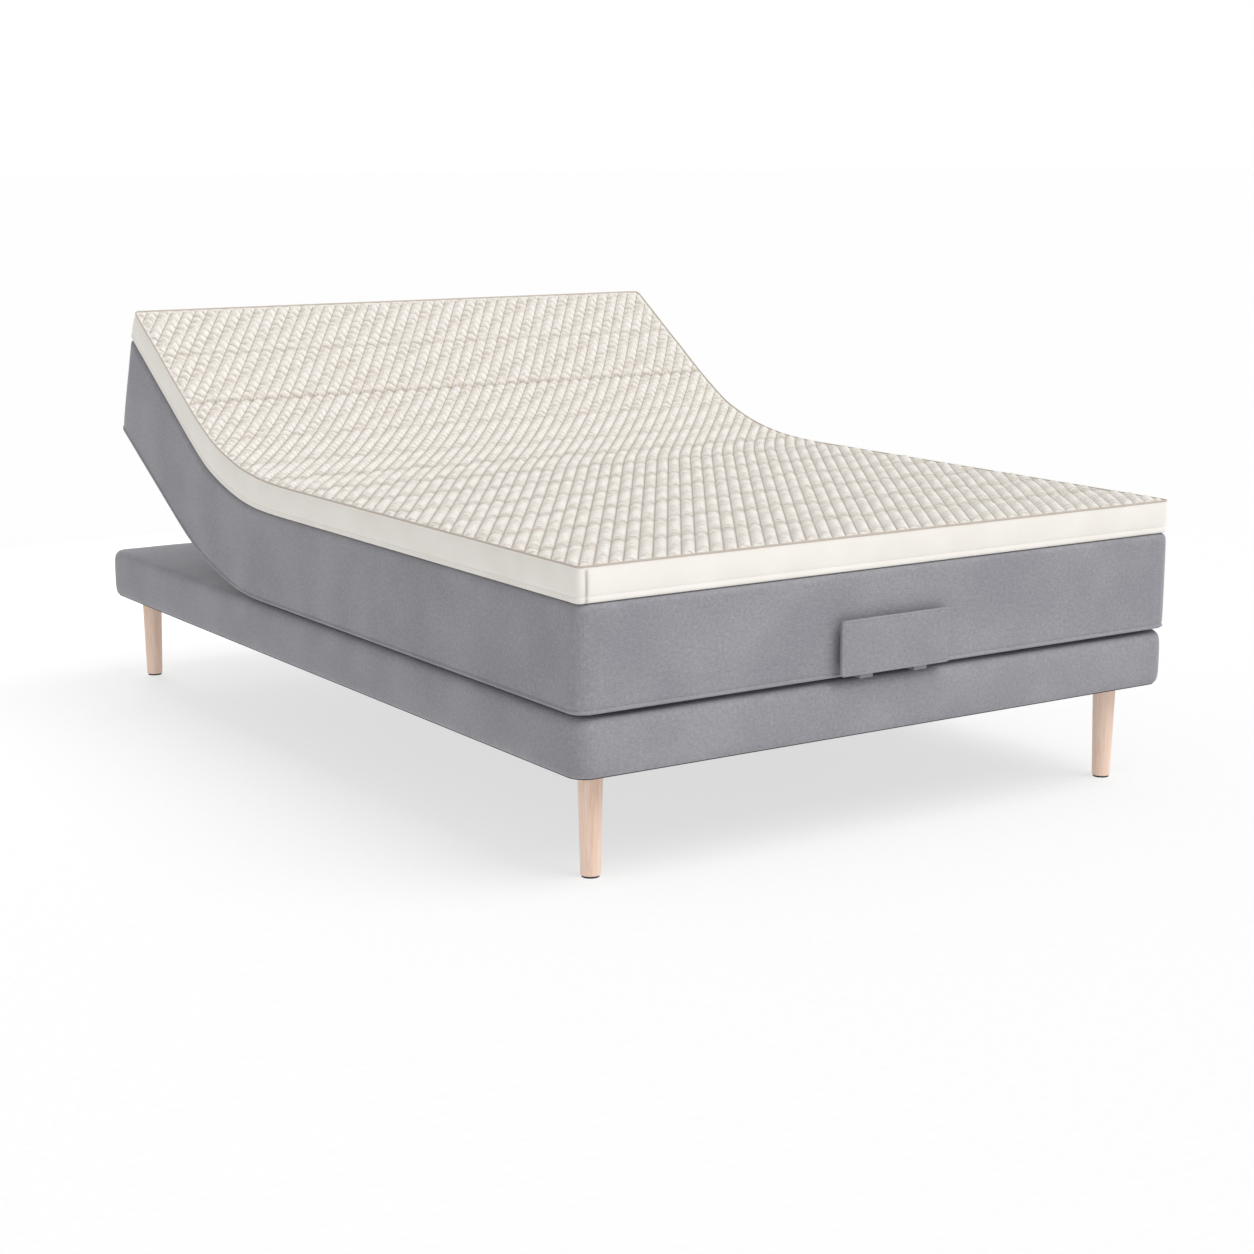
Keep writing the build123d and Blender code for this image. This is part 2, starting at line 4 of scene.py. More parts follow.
import bpy
import numpy as np
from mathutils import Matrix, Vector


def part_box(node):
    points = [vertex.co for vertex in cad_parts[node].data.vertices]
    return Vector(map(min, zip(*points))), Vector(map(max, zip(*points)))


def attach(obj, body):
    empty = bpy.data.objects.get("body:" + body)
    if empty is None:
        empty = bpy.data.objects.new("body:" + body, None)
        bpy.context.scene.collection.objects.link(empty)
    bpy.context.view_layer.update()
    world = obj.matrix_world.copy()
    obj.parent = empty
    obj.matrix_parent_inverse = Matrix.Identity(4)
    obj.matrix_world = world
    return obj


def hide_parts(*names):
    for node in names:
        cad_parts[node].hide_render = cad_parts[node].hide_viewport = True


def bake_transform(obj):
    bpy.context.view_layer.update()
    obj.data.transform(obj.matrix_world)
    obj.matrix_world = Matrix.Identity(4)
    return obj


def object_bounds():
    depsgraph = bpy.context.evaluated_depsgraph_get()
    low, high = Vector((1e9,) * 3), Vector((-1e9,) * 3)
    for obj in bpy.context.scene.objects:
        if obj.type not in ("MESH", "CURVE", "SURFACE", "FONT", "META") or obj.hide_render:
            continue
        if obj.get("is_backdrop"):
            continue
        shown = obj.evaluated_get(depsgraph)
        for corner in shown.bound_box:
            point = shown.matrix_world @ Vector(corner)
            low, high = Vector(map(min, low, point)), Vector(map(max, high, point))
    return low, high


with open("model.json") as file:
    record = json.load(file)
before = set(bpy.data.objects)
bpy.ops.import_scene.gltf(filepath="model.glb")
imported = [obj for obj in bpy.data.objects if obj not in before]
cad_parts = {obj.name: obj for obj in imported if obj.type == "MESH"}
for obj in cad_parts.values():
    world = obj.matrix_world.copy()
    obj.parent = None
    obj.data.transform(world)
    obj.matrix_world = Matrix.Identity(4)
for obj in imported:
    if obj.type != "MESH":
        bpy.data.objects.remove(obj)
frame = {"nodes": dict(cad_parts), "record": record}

cad_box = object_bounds()
nodes = frame["nodes"]

# Camera
# A plain lens at standing height by the foot corner, looking along the bed towards the raised back.
lens = bpy.data.cameras.new("camera")
lens.lens = 68.64
lens.sensor_width = 36
camera = bpy.data.objects.new("camera", lens)
camera.location = (-2.790, -4.349, 1.262)
camera.rotation_euler = (radians(78.57), 0, radians(-33.51))
bpy.context.scene.collection.objects.link(camera)
bpy.context.scene.camera = camera


# Legs
# Four turned and tapered beech legs, each screwed into the base on a steel stud through a steel
# collar, with a plastic glide under its foot. The CAD shapes are the real ones, so only the finish
# is made here.
def colour(code):
    """A hex sRGB colour as linear red, green, blue and alpha."""
    parts = [int(code[i:i + 2], 16) / 255 for i in (1, 3, 5)]
    linear = [c / 12.92 if c <= 0.04045 else ((c + 0.055) / 1.055) ** 2.4 for c in parts]
    return (*linear, 1)


def new_finish(name, **surface):
    """A material and its surface shader, with the shader's plain numbers and colours set on it."""
    material = bpy.data.materials.new(name)
    material.use_nodes = True
    shader = material.node_tree.nodes["Principled BSDF"]
    for socket, value in surface.items():
        shader.inputs[socket.replace("_", " ")].default_value = value
    return material, shader


def node(material, kind, sockets=None, **settings):
    """Adds a node with its settings, and fills each socket with a number or a link."""
    made = material.node_tree.nodes.new(kind)
    for name, value in settings.items():
        setattr(made, name, value)
    for name, value in (sockets or {}).items():
        if isinstance(value, bpy.types.NodeSocket):
            material.node_tree.links.new(value, made.inputs[name])
        else:
            made.inputs[name].default_value = value
    return made


def feed(material, shader, **sockets):
    """Links outputs to the surface shader's sockets."""
    for name, output in sockets.items():
        material.node_tree.links.new(output, shader.inputs[name.replace("_", " ")])


def shades(material, factor, stops):
    """A colour ramp from (place, hex colour) stops."""
    ramp = node(material, "ShaderNodeValToRGB", {"Fac": factor})
    elements = ramp.color_ramp.elements
    while len(elements) < len(stops):
        elements.new(0.5)
    for element, (place, code) in zip(elements, stops):
        element.position = place
        element.color = colour(code)
    return ramp.outputs["Color"]


def finish_nodes(slot, material):
    """Gives every CAD node of one material slot its finish."""
    for part in frame["record"]["subparts"]:
        if part["material_slot"] == slot:
            nodes[part["node"]].data.materials.clear()
            nodes[part["node"]].data.materials.append(material)


# Beech, turned and oiled: pale pink-brown, long fine grain up the leg, short dark rays and a low
# satin gloss. The grain is about 3 mm wide and the rays 1.5 mm.
beech, surface = new_finish("oiled_beech", Roughness=0.5, IOR=1.47, Coat_Weight=0.12, Coat_Roughness=0.4)
place = node(beech, "ShaderNodeTexCoord").outputs["Object"]
along = node(beech, "ShaderNodeMapping", {"Vector": place, "Scale": (1, 1, 0.05)}).outputs[0]
grain = node(beech, "ShaderNodeTexNoise", {"Vector": along, "Scale": 330, "Detail": 4, "Distortion": 0.6})
broad = node(beech, "ShaderNodeTexNoise", {"Vector": along, "Scale": 60, "Detail": 2})
rays_at = node(beech, "ShaderNodeMapping", {"Vector": place, "Scale": (1, 1, 0.16)}).outputs[0]
rays = node(beech, "ShaderNodeTexVoronoi", {"Vector": rays_at, "Scale": 420})
tone = node(beech, "ShaderNodeMath", {0: grain.outputs["Fac"], 1: broad.outputs["Fac"]}, operation="ADD")
half_tone = node(beech, "ShaderNodeMath", {0: tone.outputs[0], 1: 0.5}, operation="MULTIPLY")
wood = shades(beech, half_tone.outputs[0], [(0.3, "#e3bfa7"), (0.5, "#f1d3bf"), (0.72, "#f9e3d5")])
flecks = shades(beech, rays.outputs["Distance"], [(0.0, "#b98a6c"), (0.16, "#ffffff")])
blended = node(beech, "ShaderNodeMix", {0: 0.5, 6: wood, 7: flecks}, data_type="RGBA", blend_type="MULTIPLY")
pores = node(beech, "ShaderNodeBump", {"Height": grain.outputs["Fac"], "Strength": 0.25, "Distance": 0.0004})
feed(beech, surface, Base_Color=blended.outputs[2], Normal=pores.outputs[0])
finish_nodes("leg_wood", beech)

# Zinc-plated steel, barrel plated: a bright grey-blue metal with a patchy cloudy gloss.
zinc, surface = new_finish("zinc_plated_steel", Metallic=1.0)
place = node(zinc, "ShaderNodeTexCoord").outputs["Object"]
clouds = node(zinc, "ShaderNodeTexNoise", {"Vector": place, "Scale": 90, "Detail": 3})
rough = node(zinc, "ShaderNodeMapRange", {"Value": clouds.outputs["Fac"], "To Min": 0.28, "To Max": 0.46})
feed(zinc, surface, Roughness=rough.outputs[0],
     Base_Color=shades(zinc, clouds.outputs["Fac"], [(0.35, "#a4a8ab"), (0.65, "#c6c9ca")]))
finish_nodes("zinc_steel", zinc)

# Moulded black polymer, spark-eroded mould: near-black with a fine pebble of about 0.8 mm that
# breaks the highlight.
polymer, surface = new_finish("moulded_black_polymer", Roughness=0.5, IOR=1.5)
place = node(polymer, "ShaderNodeTexCoord").outputs["Object"]
pebble = node(polymer, "ShaderNodeTexNoise", {"Vector": place, "Scale": 1250, "Detail": 2})
dimples = node(polymer, "ShaderNodeBump", {"Height": pebble.outputs["Fac"], "Strength": 0.3,
                                           "Distance": 0.0003})
feed(polymer, surface, Normal=dimples.outputs[0],
     Base_Color=shades(polymer, pebble.outputs["Fac"], [(0.3, "#1d1e20"), (0.7, "#292a2c")]))
finish_nodes("black_plastic", polymer)

# Base timber
# Planed pine rails, end rails, cross beams and corner blocks, glued and screwed into a box with a
# thin top panel. They stay inside the cloth and show only from below where it stops.
# Planed pine: yellow-brown growth bands about 6 mm wide along each rail.
pine, surface = new_finish("planed_pine", Roughness=0.6, IOR=1.47)
place = node(pine, "ShaderNodeTexCoord").outputs["Object"]
along = node(pine, "ShaderNodeMapping", {"Vector": place, "Scale": (1, 0.06, 1)}).outputs[0]
growth = node(pine, "ShaderNodeTexNoise", {"Vector": along, "Scale": 160, "Detail": 3, "Distortion": 0.4})
feed(pine, surface,
     Base_Color=shades(pine, growth.outputs["Fac"], [(0.35, "#c79f68"), (0.5, "#dcbd8b"), (0.7, "#e6cfa2")]))
finish_nodes("frame_timber", pine)

# Dust cover
# Black spunbond polypropylene stapled under the base: a thin matt cloth with a small pressed
# diamond every 2 mm, drawn at 4 mm so that it shows.
spunbond, surface = new_finish("spunbond_polypropylene", Roughness=0.9, IOR=1.49)
place = node(spunbond, "ShaderNodeTexCoord").outputs["Object"]
fibres = node(spunbond, "ShaderNodeTexNoise", {"Vector": place, "Scale": 700, "Detail": 4, "Roughness": 0.7})
pressed = node(spunbond, "ShaderNodeTexVoronoi", {"Vector": place, "Scale": 250, "Randomness": 0.1})
relief = node(spunbond, "ShaderNodeMath", {0: pressed.outputs["Distance"], 1: fibres.outputs["Fac"]},
              operation="ADD")
dents = node(spunbond, "ShaderNodeBump", {"Height": relief.outputs[0], "Strength": 0.5, "Distance": 0.0005})
feed(spunbond, surface, Normal=dents.outputs[0],
     Base_Color=shades(spunbond, fibres.outputs["Fac"], [(0.3, "#26272a"), (0.7, "#3b3c40")]))
finish_nodes("dust_cloth", spunbond)

# Base cover
# One piece of grey cloth over thin wadding, drawn over the timber box and stapled underneath. The
# top edges are softly rounded and the corners follow the blocks inside.
# Grey melange flat weave: light and dark yarns twisted together give a soft speckle, and the raised
# fibres a dull sheen. Yarns are 0.6 mm apart, drawn at 1.6 mm and the weave at 3 mm so that they show.
melange, surface = new_finish("grey_melange_weave", Roughness=0.92, IOR=1.45, Sheen_Weight=0.35,
                              Sheen_Roughness=0.45, Sheen_Tint=colour("#c9cad2"))
cloth = node(melange, "ShaderNodeAttribute", attribute_name="cloth").outputs["Vector"]
yarn = node(melange, "ShaderNodeTexNoise", {"Vector": cloth, "Scale": 620, "Detail": 3, "Roughness": 0.65})
slubs = node(melange, "ShaderNodeTexNoise", {"Vector": cloth, "Scale": 150, "Detail": 3, "Roughness": 0.6})
handled = node(melange, "ShaderNodeTexNoise", {"Vector": cloth, "Scale": 7, "Detail": 2})
warp = node(melange, "ShaderNodeTexWave", {"Vector": cloth, "Scale": 100, "Distortion": 1.2},
            bands_direction="Y")
weft = node(melange, "ShaderNodeTexWave", {"Vector": cloth, "Scale": 100, "Distortion": 1.2},
            bands_direction="Z")
mixed = node(melange, "ShaderNodeMix", {0: 0.45, 2: yarn.outputs["Fac"], 3: slubs.outputs["Fac"]})
flecked = shades(melange, mixed.outputs[0], [(0.34, "#88878c"), (0.5, "#959499"), (0.66, "#a3a2a7")])
worn = shades(melange, handled.outputs["Fac"], [(0.35, "#f0f0f2"), (0.65, "#ffffff")])
grey = node(melange, "ShaderNodeMix", {0: 1.0, 6: flecked, 7: worn}, data_type="RGBA", blend_type="MULTIPLY")
threads = node(melange, "ShaderNodeMath", {0: warp.outputs["Fac"], 1: weft.outputs["Fac"]}, operation="ADD")
fuzz = node(melange, "ShaderNodeMath", {0: threads.outputs[0], 1: mixed.outputs[0]}, operation="ADD")
nap = node(melange, "ShaderNodeBump", {"Height": fuzz.outputs[0], "Strength": 0.28, "Distance": 0.0007})
feed(melange, surface, Base_Color=grey.outputs[2], Normal=nap.outputs[0])


def ease(value, low, high):
    """0 below low, 1 above high, and a smooth step between them."""
    t = np.clip((value - low) / (high - low), 0, 1)
    return t * t * (3 - 2 * t)


def rounded_plan(x, y, half, radius):
    """Draws a rectangle's grid points in, so that its corners have a radius."""
    over_x = np.abs(x) - (half[0] - radius)
    over_y = np.abs(y) - (half[1] - radius)
    corner = (over_x > 0) & (over_y > 0)
    big = np.where(corner, np.maximum(over_x, over_y), 1)
    angle = np.where(corner, np.minimum(over_x, over_y), 0) / big * pi / 4
    far = big * np.cos(angle)
    near = big * np.sin(angle)
    x_far = over_x >= over_y
    new_x = half[0] - radius + np.where(x_far, far, near)
    new_y = half[1] - radius + np.where(x_far, near, far)
    return np.where(corner, np.sign(x) * new_x, x), np.where(corner, np.sign(y) * new_y, y)


def sewn_shell(columns, rows, half, middle, radius, rim, gridded_top):
    """A closed cover: a top, a rim that runs down through (inset, height) rows, and a flat bottom.

    columns and rows are the plan lines of the top, measured from the middle. Returns the points, the
    row line that each point belongs to, the faces, and each face's band: 0 for the top, then the rim's
    rows in turn, and last the bottom."""
    wide, deep = len(columns), len(rows)
    across, down = np.meshgrid(columns, rows)
    lap = [(0, i) for i in range(wide)]
    lap += [(j, wide - 1) for j in range(1, deep)]
    lap += [(deep - 1, i) for i in range(wide - 2, -1, -1)]
    lap += [(j, 0) for j in range(deep - 2, 0, -1)]
    lap_j, lap_i = np.array(lap).T
    points, lines, faces, bands = [], [], [], []
    first = rim[0][0]
    if gridded_top:
        x, y = rounded_plan(across, down, (half[0] - first, half[1] - first), radius - first)
        points.append(np.stack([x, y + middle, np.full_like(x, rim[0][1])], -1).reshape(-1, 3))
        lines.append(down.reshape(-1) + middle)
        ring = lap_j * wide + lap_i
        rings = [ring]
    else:
        rings = []
    count = sum(len(p) for p in points)
    for inset, height in rim[len(rings):]:
        scale_x = (half[0] - inset) / (half[0] - first)
        scale_y = (half[1] - inset) / (half[1] - first)
        x, y = rounded_plan(across[lap_j, lap_i] * scale_x, down[lap_j, lap_i] * scale_y,
                            (half[0] - inset, half[1] - inset), max(radius - inset, 0.002))
        points.append(np.stack([x, y + middle, np.full_like(x, height)], -1))
        lines.append(down[lap_j, lap_i] + middle)
        rings.append(count + np.arange(len(lap)))
        count += len(lap)
    if gridded_top:
        j, i = np.meshgrid(np.arange(deep - 1), np.arange(wide - 1), indexing="ij")
        low = (j * wide + i).reshape(-1)
        faces += np.stack([low, low + 1, low + 1 + wide, low + wide], -1).tolist()
        bands += [0] * len(low)
    for band, (upper, lower) in enumerate(zip(rings, rings[1:]), 1):
        quads = np.stack([lower, np.roll(lower, -1), np.roll(upper, -1), upper], -1)
        faces += quads.tolist()
        bands += [band] * len(quads)
    last = [(rings[-1], len(rings), True)]
    if not gridded_top:
        last.append((rings[0], 0, False))
    for ring, band, downwards in last:
        right = {j: ring[wide - 1 + j] for j in range(deep)}
        left = {j: ring[-j] for j in range(1, deep)}
        left[0] = ring[0]
        for j in range(deep - 1):
            strip = [left[j + 1], right[j + 1], right[j], left[j]]
            if j == 0:
                strip = [left[1], right[1], *ring[wide - 1::-1]]
            elif j == deep - 2:
                strip = [*ring[wide + deep - 2:2 * wide + deep - 2][::-1], right[j], left[j]]
            faces.append([int(k) for k in (strip if downwards else strip[::-1])])
            bands.append(band)
    return np.concatenate(points), np.concatenate(lines), faces, np.array(bands)


def cloth_piece(name, points, flat, faces, finishes, bands, normals=None, seam_line_and_groove_shade=None):
    """A smooth mesh whose points keep their place on the flat cloth for the pattern to follow."""
    mesh = bpy.data.meshes.new(name)
    mesh.from_pydata(points.tolist(), [], faces)
    mesh.polygons.foreach_set("use_smooth", [True] * len(faces))
    for material, _ in finishes:
        mesh.materials.append(material)
    index = np.zeros(len(faces), np.int32)
    for i, (_, wanted) in enumerate(finishes):
        index[np.isin(bands, list(wanted))] = i
    mesh.polygons.foreach_set("material_index", index)
    kept = mesh.attributes.new("cloth", "FLOAT_VECTOR", "POINT")
    kept.data.foreach_set("vector", flat.astype(np.float32).reshape(-1))
    # Per-point values that darken the cloth's colour: painted shade in the grooves and seams, and the corner
    # seam's line.
    if seam_line_and_groove_shade is not None:
        seams_and_shading = mesh.attributes.new("seam_line_and_groove_shade", "FLOAT", "POINT")
        seams_and_shading.data.foreach_set("value", seam_line_and_groove_shade.astype(np.float32))
    mesh.update()
    if normals is not None:
        mesh.normals_split_custom_set_from_vertices(normals.tolist())
    piece = bpy.data.objects.new(name, mesh)
    bpy.context.scene.collection.objects.link(piece)
    return piece


def drift(u, v, size, seed):
    """Long gentle waves between -1 and 1, about size metres apart, for hand-drawn cloth."""
    k = 2 * pi / size
    waves = np.sin(k * u + seed) * np.cos(0.83 * k * v + 2 * seed)
    waves = waves + 0.6 * np.sin(1.7 * k * u + 1.3 * k * v + 3 * seed)
    return waves / 1.6


base_low, base_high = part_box("base_cover")
base_half = ((base_high.x - base_low.x) / 2, (base_high.y - base_low.y) / 2)
base_middle = (base_high.y + base_low.y) / 2
mm = 0.001
rim = [(30, 108), (20, 107.9), (15, 107.2), (10, 105.4), (6, 102), (3, 97), (1.2, 90), (0.3, 80),
       (0, 66), (0, 54), (0, 40), (0.3, 26), (1, 16), (2.4, 9), (4.6, 4.4), (7, 2), (10, 1.2), (16, 1)]
rim = [(inset * mm, base_low.z + height * mm) for inset, height in rim]
columns = np.linspace(-base_half[0] + 0.03, base_half[0] - 0.03, 91)
rows = np.linspace(-base_half[1] + 0.03, base_half[1] - 0.03, 131)
points, _, faces, bands = sewn_shell(columns, rows, base_half, base_middle, 0.040, rim, True)
flat = points.copy()
side = ease(base_half[0] - np.abs(points[:, 0]), 0.03, 0.0) * ease(points[:, 2], 0.205, 0.215)
points[:, 0] -= np.sign(points[:, 0]) * side * 0.0006 * (1 + drift(points[:, 1], points[:, 2], 0.4, 1))
inner = ease(base_half[0] - np.abs(points[:, 0]), 0.02, 0.1) * (points[:, 2] > base_high.z - 0.001)
points[:, 2] -= inner * 0.001 * (1 + drift(points[:, 0], points[:, 1], 0.5, 2))
base_skin = cloth_piece("base_upholstery", points, flat, faces, [(melange, range(99))], bands)
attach(base_skin, "base")
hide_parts("base_cover")

# Steel frame, slats and drive
# Flat steel bars, square tubes and lift tubes, welded and powder coated, carry birch slats. The twin
# drive hangs between the two lift tubes and its nuts push their levers.
# Powder-coated steel: dark satin grey with a fine orange peel of about 1.5 mm.
def powder_coat(name, roughness, dark, light):
    """A powder coat in one shade, with its orange peel."""
    coat, surface = new_finish(name, Roughness=roughness, IOR=1.5)
    place = node(coat, "ShaderNodeTexCoord").outputs["Object"]
    peel = node(coat, "ShaderNodeTexNoise", {"Vector": place, "Scale": 660, "Detail": 1})
    skin = node(coat, "ShaderNodeBump", {"Height": peel.outputs["Fac"], "Strength": 0.2, "Distance": 0.0003})
    feed(coat, surface, Normal=skin.outputs[0],
         Base_Color=shades(coat, peel.outputs["Fac"], [(0.3, dark), (0.7, light)]))
    return coat


coated = powder_coat("powder_coated_steel", 0.42, "#333538", "#3d3f42")
finish_nodes("painted_steel", coated)

# Birch plywood slats, lacquered: pale straw with long faint figure about 8 mm wide across the bed.
birch, surface = new_finish("lacquered_birch", Roughness=0.4, IOR=1.47, Coat_Weight=0.2, Coat_Roughness=0.3)
place = node(birch, "ShaderNodeTexCoord").outputs["Object"]
along = node(birch, "ShaderNodeMapping", {"Vector": place, "Scale": (0.05, 1, 1)}).outputs[0]
figure = node(birch, "ShaderNodeTexNoise", {"Vector": along, "Scale": 120, "Detail": 4, "Distortion": 0.8})
feed(birch, surface,
     Base_Color=shades(birch, figure.outputs["Fac"],
                       [(0.35, "#d2b384"), (0.55, "#e5cda4"), (0.7, "#ecdab8")]))
finish_nodes("slat_wood", birch)

# Grey foam: the open-cell filling behind the covers, matt with pores of about 1 mm, with painted shade in the
# pores.
foam, surface = new_finish("open_cell_foam", Roughness=0.95, IOR=1.4)
place = node(foam, "ShaderNodeTexCoord").outputs["Object"]
cells = node(foam, "ShaderNodeTexVoronoi", {"Vector": place, "Scale": 900})
holes = node(foam, "ShaderNodeBump", {"Height": cells.outputs["Distance"], "Strength": 0.6,
                                      "Distance": 0.0008})
# Painted shade: darker at the middle of each cell, where the pores sink in.
feed(foam, surface, Normal=holes.outputs[0],
     Base_Color=shades(foam, cells.outputs["Distance"], [(0.1, "#8f9094"), (0.6, "#b5b6b9")]))
finish_nodes("soft_foam", foam)

# Sprung box cover
# One grey cover round the pocket springs of all five sections, so it is continuous along the sides
# and bends with the frame. A welt runs round its bottom edge, and the underside is spunbond.
HINGE = {"lumbar": (0.290, 0.345), "back": (0.560, 0.345)}
BEND = radians(15)
PARTS = {"calf": -0.275, "thigh": 0.090, "lumbar": 0.425, "back": 9.0}


def turn(y, z, axis, angle):
    """Turns points of the side view about a hinge axis."""
    dy, dz = y - axis[0], z - axis[1]
    c, s = np.cos(angle), np.sin(angle)
    return axis[0] + dy * c - dz * s, axis[1] + dy * s + dz * c


FOLD_MIDDLE = (HINGE["lumbar"][0] + HINGE["back"][0]) / 2
FOLD_HALF = {"low": 0.165, "high": 0.400, "hinged": 0.235}


def bent(flat, half, angles):
    """Bends a flat cover along one curve, given the tilt at even steps along it. Both ends stay
    exactly where the two hinges carry them."""
    y, z = flat[:, 1], flat[:, 2]
    hinge_z = HINGE["lumbar"][1]
    steps = len(angles) - 1
    run = np.concatenate([[0], np.cumsum((np.cos(angles[1:]) + np.cos(angles[:-1])) / 2)]) / steps
    rise = np.concatenate([[0], np.cumsum((np.sin(angles[1:]) + np.sin(angles[:-1])) / 2)]) / steps
    start, end = FOLD_MIDDLE - half, FOLD_MIDDLE + half
    share = np.clip((y - start) / (2 * half), 0, 1)
    t = np.linspace(0, 1, steps + 1)
    angle = np.interp(share, t, angles)
    line_y = np.minimum(y, start) + 2 * half * np.interp(share, t, run)
    line_z = hinge_z + 2 * half * np.interp(share, t, rise)
    back_y, back_z = turn(*HINGE["back"], HINGE["lumbar"], BEND)
    end_y = back_y + (end - HINGE["back"][0]) * cos(2 * BEND)
    end_z = back_z + (end - HINGE["back"][0]) * sin(2 * BEND)
    settle = ease(share, 0, 1)
    line_y += settle * (end_y - start - 2 * half * run[-1])
    line_z += settle * (end_z - hinge_z - 2 * half * rise[-1])
    past = np.maximum(y - end, 0)
    line_y += past * cos(2 * BEND)
    line_z += past * sin(2 * BEND)
    new_y = line_y - (z - hinge_z) * np.sin(angle)
    new_z = line_z + (z - hinge_z) * np.cos(angle)
    return np.stack([flat[:, 0], new_y, new_z], -1)


def raised(flat):
    """Takes a cover that lies flat to the raised back it has at rest: one smooth curve along the top,
    and underneath a curve that keeps close to the two hinges, so that it clears the base when flat."""
    t = np.linspace(0, 1, 400)
    depth = np.clip((flat[:, 2] - 0.318) / 0.254, 0, 1)
    half = FOLD_HALF["low"] + (FOLD_HALF["high"] - FOLD_HALF["low"]) * depth
    smooth = bent(flat, half, 2 * BEND * ease(t, 0, 1))
    hinged = bent(flat, FOLD_HALF["hinged"], BEND * (ease(t, 0, 0.426) + ease(t, 0.574, 1)))
    share = (0.68 * (1 - depth))[:, None]
    return smooth * (1 - share) + hinged * share


def sectioned(name, shape, lines, flat, faces, bands, finishes, stands_for, seam_line_and_groove_shade=None):
    """Cuts a cover into one part for each section between the joints, sharing its shading across the cuts."""
    whole = bpy.data.meshes.new(name)
    whole.from_pydata(shape.tolist(), [], faces)
    normals = np.zeros(len(shape) * 3, np.float32)
    whole.vertex_normals.foreach_get("vector", normals)
    normals = normals.reshape(-1, 3)
    bpy.data.meshes.remove(whole)
    middles = np.array([(lines[face].min() + lines[face].max()) / 2 for face in map(np.array, faces)])
    low, made = -9.0, {}
    for part, high in PARTS.items():
        chosen = np.flatnonzero((middles > low) & (middles <= high))
        used = np.unique(np.concatenate([faces[k] for k in chosen]))
        renumber = np.zeros(len(shape), np.int64)
        renumber[used] = np.arange(len(used))
        own = [renumber[faces[k]].tolist() for k in chosen]
        seams_and_shading = None if seam_line_and_groove_shade is None else seam_line_and_groove_shade[used]
        piece = cloth_piece(f"{part}_{name}", shape[used], flat[used], own, finishes, bands[chosen],
                            normals[used], seams_and_shading)
        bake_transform(piece)
        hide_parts(*stands_for[part])
        made[part] = piece
        low = high
    return made


HEAD_RISE = 0.028
HEAD_OVERHANG = 0.048
RISE_FROM, RISE_RUN = 0.560, 0.505
box_half = (0.6995, 1.0525)
box_middle = 0.0125
rim = [(60, 190), (30, 190), (14, 189.8), (8, 188.6), (4, 186), (1.6, 181.5), (0.6, 174), (0.3, 160),
       (0.2, 140), (0.2, 120), (0.2, 100), (0.2, 80), (0.3, 60), (0.4, 40), (0.6, 24), (1.0, 14),
       (1.4, 9.0), (2.4, 7.6), (1.5, 6.6), (0.3, 5.2), (-0.2, 3.4), (0.3, 1.6), (1.6, 0.4),
       (3.2, 0.6), (4.2, 1.4), (10, 1.2), (20, 1.0)]
rim = [(inset * mm, 0.315 + height * mm) for inset, height in rim]
columns = np.linspace(-box_half[0] + 0.06, box_half[0] - 0.06, 61)
rows = np.linspace(-box_half[1] + 0.06, box_half[1] - 0.06, 181)
flat, lines, faces, bands = sewn_shell(columns, rows, box_half, box_middle, 0.030, rim, False)
cloth_at = flat.copy()
height = (flat[:, 2] - 0.315) / 0.190
wall = ease(height, 0.0, 0.08) * ease(height, 1.0, 0.9)
side = ease(np.abs(flat[:, 0]), box_half[0] - 0.01, box_half[0] - 0.002)
flat[:, 0] -= np.sign(flat[:, 0]) * side * wall * 0.0012 * (1 + drift(flat[:, 1], flat[:, 2], 0.33, 4))
foot = ease(flat[:, 1], -1.03, -1.038)
flat[:, 1] += foot * wall * 0.0012 * (1 + drift(flat[:, 0], flat[:, 2], 0.41, 5))
flat[:, 1] -= HEAD_OVERHANG * (1 - height) * ease(flat[:, 1], 0.80, 1.06)
flat[:, 2] += HEAD_RISE * height * np.clip((flat[:, 1] - RISE_FROM) / RISE_RUN, 0, 1)
shape = raised(flat)
last = len(rim)
boxes = sectioned("box_cover", shape, lines, cloth_at, faces, bands,
                  [(melange, range(0, last)), (spunbond, [last])], {
                      "calf": ["calf_spring_core"],
                      "thigh": ["thigh_spring_core", "thigh_gap_foam"],
                      "lumbar": ["seat_spring_core", "lumbar_spring_core", "lumbar_gap_foam"],
                      "back": ["back_spring_core", "back_gap_foam"]})

# Topper
# A foam topper in an off-white knitted cover, quilted on top in slanted columns that channels cross,
# with one deeper seam on the back. A piped seam joins the top to the plain border.
# Knitted polyester jersey: soft off-white and a faint fuzz, with loops of about 1 mm, creases of about
# 2.5 mm and gathers about 22 mm apart. Its colour holds painted shade: darker in the quilting grooves, in the
# channels' pinches, on the flank behind each channel and along the deep seam, and in the low parts of the
# creases and gathers.
jersey, surface = new_finish("knitted_jersey", Roughness=0.9, IOR=1.45, Sheen_Weight=0.2,
                             Sheen_Roughness=0.5, Sheen_Tint=colour("#fff8ee"))
cloth = node(jersey, "ShaderNodeAttribute", attribute_name="cloth").outputs["Vector"]
seams_and_shading = node(jersey, "ShaderNodeAttribute", attribute_name="seam_line_and_groove_shade").outputs["Fac"]
crosswise = node(jersey, "ShaderNodeMapping", {"Vector": cloth, "Scale": (1, 0.3, 1)}).outputs[0]
creases = node(jersey, "ShaderNodeTexNoise", {"Vector": crosswise, "Scale": 420, "Detail": 3,
                                              "Roughness": 0.6})
loops = node(jersey, "ShaderNodeTexNoise", {"Vector": cloth, "Scale": 900, "Detail": 2})
